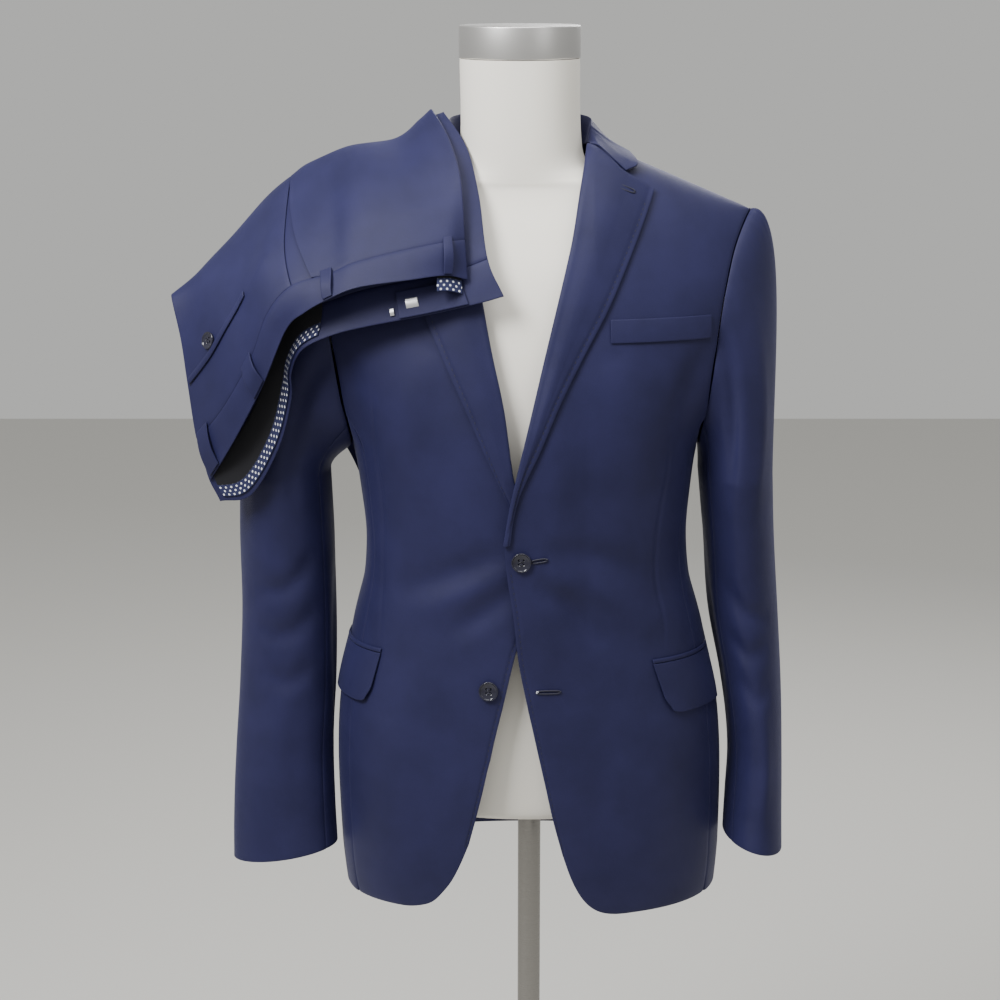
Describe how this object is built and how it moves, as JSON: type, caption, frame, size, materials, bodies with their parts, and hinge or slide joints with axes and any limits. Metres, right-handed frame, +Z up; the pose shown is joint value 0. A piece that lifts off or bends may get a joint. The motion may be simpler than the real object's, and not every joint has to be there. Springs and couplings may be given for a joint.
{
  "type": "two-piece suit on a dress form",
  "caption": "Dark navy two-button suit jacket on a limbless dress form, matching trousers over its right shoulder.",
  "frame": {"origin": "centre of the base's underside, on the pole's axis", "axes": "+Z up, +X to the wearer's left, -Y to the front"},
  "size_m": [0.6229, 0.38, 1.6005],
  "materials": {
    "suit_wool": "fine worsted, soft sheen",
    "curtain_cotton": "navy with small white staggered dots",
    "button_horn": "polished",
    "hook_metal": "satin",
    "form_jersey": "matt jersey",
    "brushed_steel": "brushed"
  },
  "bodies": {
    "root": {"base": "brushed_steel", "pole": "brushed_steel", "form_torso": "form_jersey", "neck_cap": "brushed_steel", "back_pocket_welt": "suit_wool", "belt_loop_back": "suit_wool", "belt_loop_centre": "suit_wool", "belt_loop_front": "suit_wool", "belt_loop_side": "suit_wool", "breast_welt": "suit_wool", "button_back_pocket": "button_horn", "button_lower": "button_horn", "button_top": "button_horn", "collar": "suit_wool", "curtain_left": "curtain_cotton", "curtain_right": "curtain_cotton", "flap_left": "suit_wool", "flap_right": "suit_wool", "fly_tab": "suit_wool", "folded_legs": "suit_wool", "hook": "hook_metal", "hook_bar": "hook_metal", "jacket_back_left": "suit_wool", "jacket_back_right": "suit_wool", "jacket_front_left": "suit_wool", "jacket_front_right": "suit_wool", "jacket_side_left": "suit_wool", "jacket_side_right": "suit_wool", "jet_left": "suit_wool", "jet_right": "suit_wool", "lapel_left": "suit_wool", "lapel_right": "suit_wool", "pocket_facing": "suit_wool", "sleeve_top_left": "suit_wool", "sleeve_top_right": "suit_wool", "sleeve_under_left": "suit_wool", "sleeve_under_right": "suit_wool", "trouser_back_left": "suit_wool", "trouser_back_right": "suit_wool", "trouser_front_left": "suit_wool", "trouser_front_right": "suit_wool", "waistband_left": "suit_wool", "waistband_right": "suit_wool"}
  },
  "joints": []
}
